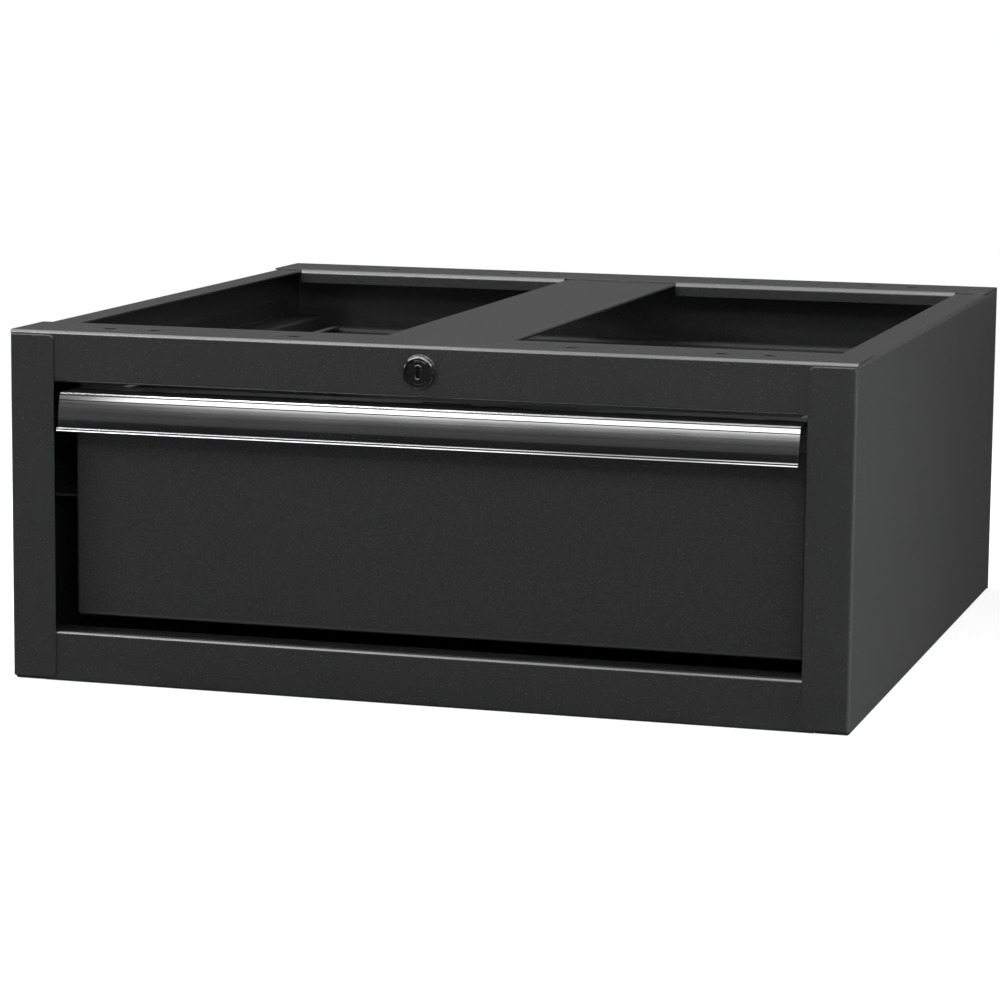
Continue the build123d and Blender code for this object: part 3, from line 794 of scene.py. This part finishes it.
@dataclass(frozen=True)
class Card:
    """A flat studio card that only reflections show.

    It is set by its middle, its two half edges and its grey. The grey may change towards the top,
    and the left end may fade out over a share of the width.
    """

    name: str
    middle: Triple
    across: Triple
    along: Triple
    grey: float
    top_grey: Optional[float] = None
    fade: float = 0.0

    @classmethod
    def upright(
        cls, name: str, x: Range, y: float, z: Range, grey: float, top_grey: Optional[float] = None,
        fade: float = 0.0,
    ) -> "Card":
        """A card that stands across the studio.

        Args:
            name: the card's name.
            x: its left and right ends.
            y: its place from front to back.
            z: its lower and upper ends.
            grey: its grey.
            top_grey: its grey at the top, where that is another one.
            fade: share of the width over which the left end fades out.

        Returns:
            The card.
        """
        middle = ((x[0] + x[1]) / 2, y, (z[0] + z[1]) / 2)
        across, along = ((x[1] - x[0]) / 2, 0, 0), (0, 0, (z[1] - z[0]) / 2)
        return cls(name, middle, across, along, grey, top_grey, fade)

    @classmethod
    def lying(cls, name: str, x: Range, y: Range, z: float, grey: float) -> "Card":
        """A card that lies on the floor.

        Args:
            name: the card's name.
            x: its left and right ends.
            y: its front and back ends.
            z: its height.
            grey: its grey.

        Returns:
            The card.
        """
        middle = ((x[0] + x[1]) / 2, (y[0] + y[1]) / 2, z)
        return cls(name, middle, ((x[1] - x[0]) / 2, 0, 0), (0, (y[1] - y[0]) / 2, 0), grey)

    def build(self) -> bpy.types.Object:
        """Add the card to the stage.

        Returns:
            The card's object.
        """
        middle, across, along = Vector(self.middle), Vector(self.across), Vector(self.along)
        ends = ((-1, -1), (1, -1), (1, 1), (-1, 1))
        card, graph = studio_sheet(self.name, [middle + across * s + along * t for s, t in ends])
        strength: Input = self.grey
        if self.top_grey is not None:
            height = graph.part(graph.generated(), "Z")
            strength = graph.spread(height, (self.grey, self.top_grey), WHOLE)
        shader = graph.glow(strength)
        if self.fade > 0:
            clear = graph.node("ShaderNodeBsdfTransparent").outputs[0]
            shown = graph.spread(graph.part(graph.generated(), "X"), WHOLE, (0.0, self.fade))
            shader = graph.mix(shown, clear, shader)
        graph.surface(shader)
        card.visible_camera = False
        card.visible_diffuse = False
        card.visible_shadow = False
        card.visible_transmission = False
        return card


@dataclass(frozen=True)
class Viewpoint:
    """The photograph's camera."""

    azimuth: float = 16.351
    elevation: float = 8.562
    roll: float = 0.560
    distance: float = 2.6352
    aim: Triple = (-0.0291, 0.003, 0.0958)
    lens: float = 128.66
    sensor: float = 36.0

    def build(self) -> bpy.types.Object:
        """Add the camera and make it the scene's own.

        Returns:
            The camera's object.
        """
        tilt, swing = math.radians(90 - self.elevation), math.radians(self.azimuth)
        turn = Euler((tilt, 0, swing), "XYZ").to_matrix()
        turn = turn @ Matrix.Rotation(math.radians(self.roll), 3, "Z")
        data = bpy.data.cameras.new("viewpoint")
        data.lens = self.lens
        data.sensor_width = self.sensor
        camera = bpy.data.objects.new("viewpoint", data)
        camera.rotation_euler = turn.to_euler()
        camera.location = Vector(self.aim) + turn @ Vector((0, 0, self.distance))
        bpy.context.scene.collection.objects.link(camera)
        bpy.context.scene.camera = camera
        return camera


LIGHTS = (
    SoftLight("high_left_light", (-1.5, -2.2, 1.5), (0, -0.29, 0.15), 1.8, 0.2, 14.0),
    SoftLight(
        "low_front_light", (0.7, -2.25, 0.98), (0.1, -0.29, 0.15), 1.2, 0.2, 17.5, mirrored=False,
    ),
    SoftLight("left_light", (-2.1, -2.1, 0.5), (0, -0.29, 0.2), 0.15, 0.25, 14.0),
    SoftLight(
        "overhead_light", (-0.9, 0.05, 2.2), (-0.1, 0.0, 0.2), 1.4, 0.6, 40.0, mirrored=False,
    ),
    SoftLight(
        "side_light", (0.92, -0.28, 0.12), (0.29, -0.28, 0.12), 0.2, 0.22, 84.0, mirrored=False,
    ),
)

BAND_PLACE = -2.4  # where the cards stand that the pull's face and the lock mirror
BAND_ENDS: Range = (-1.2, 0.02)  # ends of the pull's cards
SKY_SLOPE: Triple = (0, 1.3, 0.6)
SIDE_FLOOR: Range = (-0.32, 0.32)  # front and back ends of the floor cards beside the module

MIRRORED_CARDS = (
    Card.lying("front_floor_card", (-4.1, 2.9), (-2.45, -0.15), 0.0003, 0.012),
    Card.upright("front_low_card", (-4.1, 2.9), -2.5, (0, 0.27), 0.012),
    Card.upright("front_wall_card", (-4.2, 4.2), -2.6, (0, 1.5), 0.055),
    Card.upright("low_glow_card", BAND_ENDS, BAND_PLACE, (0.53, 0.79), 0.045, 0.14, fade=0.25),
    Card.upright("high_glow_card", BAND_ENDS, BAND_PLACE, (0.79, 1.013), 0.14, 2.2, fade=0.25),
    Card.upright("front_band_card", BAND_ENDS, BAND_PLACE, (1.013, 1.237), 1.7, fade=0.05),
    Card.upright("front_top_card", BAND_ENDS, BAND_PLACE, (1.237, 1.36), 0.6, 0.4, fade=0.05),
    Card("sky_left_card", (-0.95, -1.2, 2.1), (0.41, 0, 0), SKY_SLOPE, 2.4),
    Card("sky_right_card", (0.0, -1.2, 2.1), (0.3, 0, 0), SKY_SLOPE, 2.4),
    Card("left_glint_card", (-1.845, 0.394, 0.582), (0.06, 0.2, 0), (0, 0, 0.15), 9.0),
    Card("right_glint_card", (1.56, -0.918, 1.3), (0.1, 0.15, 0), (0, 0, 0.15), 8.0),
    Card.upright("lock_glint_card", (-0.13, 0.43), BAND_PLACE, (1.05, 1.39), 5.0),
    Card.upright("back_wall_card", (-5.0, 5.0), 3.0, (0, 3.0), 0.085),
    Card.lying("back_floor_card", (-5.0, 5.0), (0.15, 3.0), 0.0006, 0.035),
    Card("left_wall_card", (-4.0, 0, 1.3), (0, 3.0, 0), (0, 0, 1.3), 0.035),
    Card("right_wall_card", (4.0, 0, 1.3), (0, 3.0, 0), (0, 0, 1.3), 0.035),
    Card.lying("right_floor_card", (0.191, 4.291), SIDE_FLOOR, 0.0004, 0.035),
    Card.lying("left_floor_card", (-4.291, -0.191), SIDE_FLOOR, 0.0004, 0.035),
)


@dataclass
class Studio:
    """White studio: floor, fill, soft lights, mirrored cards and the camera.

    fill_heights are the heights of a direction between which the fill falls off to top_fill. Round
    the module, a pool of floor shows its shadow, and pool_edge is where the pool fades to white.
    """

    fill: float = 0.96
    top_fill: float = 0.12
    fill_heights: Range = (0.12, 0.55)
    floor_half: float = 6.0
    floor_glow: float = 0.82
    floor_paint: float = 0.3
    pool: float = 1.6
    pool_edge: Range = (0.05, 0.5)
    viewpoint: Viewpoint = Viewpoint()
    lights: tuple[SoftLight, ...] = LIGHTS
    cards: tuple[Card, ...] = MIRRORED_CARDS

    def build(self) -> None:
        """Set up the studio round the module."""
        bpy.context.scene.view_settings.view_transform = "Standard"
        self.world()
        self.floor()
        for piece in (*self.lights, *self.cards, self.viewpoint):
            LOG.info("studio: %s", piece.build().name)

    def world(self) -> None:
        """White surroundings for what is seen, and a dimmer fill, lowest from above."""
        world = bpy.data.worlds.new("studio_surroundings")
        world.use_nodes = True
        bpy.context.scene.world = world
        graph = Graph(world.node_tree)
        height = graph.part(graph.generated(), "Z")
        strength = graph.spread(height, (self.fill, self.top_fill), self.fill_heights)
        shown = graph.mix(graph.seen_rays(), graph.sky(strength), graph.sky(1.0))
        graph.surface(shown, "ShaderNodeOutputWorld")

    def floor(self) -> None:
        """A white floor that keeps the module's shadow."""
        half = self.floor_half
        ends = ((-half, -half), (half, -half), (half, half), (-half, half))
        floor, graph = studio_sheet("floor", [Vector((x, y, 0)) for x, y in ends])
        colour = (self.floor_paint,) * 3 + (1,)
        plain = graph.node("ShaderNodeBsdfDiffuse", {"Color": colour}).outputs[0]
        glow = graph.glow(self.floor_glow)
        shaded = graph.node("ShaderNodeAddShader", {0: plain, 1: glow}).outputs[0]
        place = graph.place((self.pool,) * 3)
        pool = graph.node("ShaderNodeTexGradient", {"Vector": place}, gradient_type="SPHERICAL")
        near = graph.spread(pool.outputs["Fac"], WHOLE, self.pool_edge)
        seen = graph.mix(near, graph.glow(1.0), shaded)
        graph.surface(graph.mix(graph.seen_rays(), plain, seen))
        LOG.info("studio: %s", floor.name)


def main() -> None:
    """Build the studio and the module's sub-assemblies, in order."""
    logging.basicConfig(level=logging.INFO, format="%(message)s")
    Studio().build()
    Casing().build()
    Drawer().build()
    for side in Side:
        BallSlide(side).build()
    CamLock().build()


if __name__ == "__main__":
    main()
